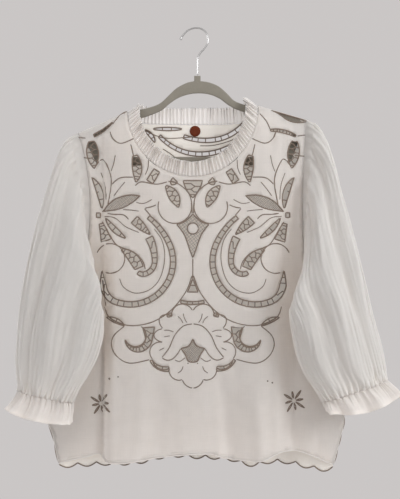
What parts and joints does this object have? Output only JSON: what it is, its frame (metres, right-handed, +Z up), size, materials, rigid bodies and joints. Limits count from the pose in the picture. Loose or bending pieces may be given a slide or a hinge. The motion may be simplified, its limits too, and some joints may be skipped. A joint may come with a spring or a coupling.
{
  "type": "blouse on a hanger",
  "caption": "Cutwork linen blouse with crinkled gauze sleeves and frilled neck and cuffs, hung on a slim flocked hanger with a wire hook.",
  "frame": {"origin": "underside of the hook's crown, where a rail or peg carries the hanger", "axes": "+Z up, the front of the blouse faces -Y, +X to the right seen from the front"},
  "size_m": [0.6578, 0.1146, 0.7582],
  "materials": {
    "linen": "plain woven ivory linen",
    "gauze": "crinkled ivory gauze",
    "frill": "gathered ivory linen",
    "thread": "taupe brown satin stitch",
    "tag": "smooth reddish brown",
    "flock": "grey green flock",
    "chrome": "polished wire"
  },
  "bodies": {
    "root": {"front_panel": "linen", "back_panel": "linen", "sleeve_left_front": "gauze", "sleeve_left_back": "gauze", "sleeve_right_front": "gauze", "sleeve_right_back": "gauze", "cuff_frill_left": "linen", "cuff_frill_right": "linen", "neck_frill_front": "frill", "neck_frill_back": "frill", "neck_tag": "tag", "hanger": "flock", "hanger_hook": "chrome"}
  },
  "joints": []
}
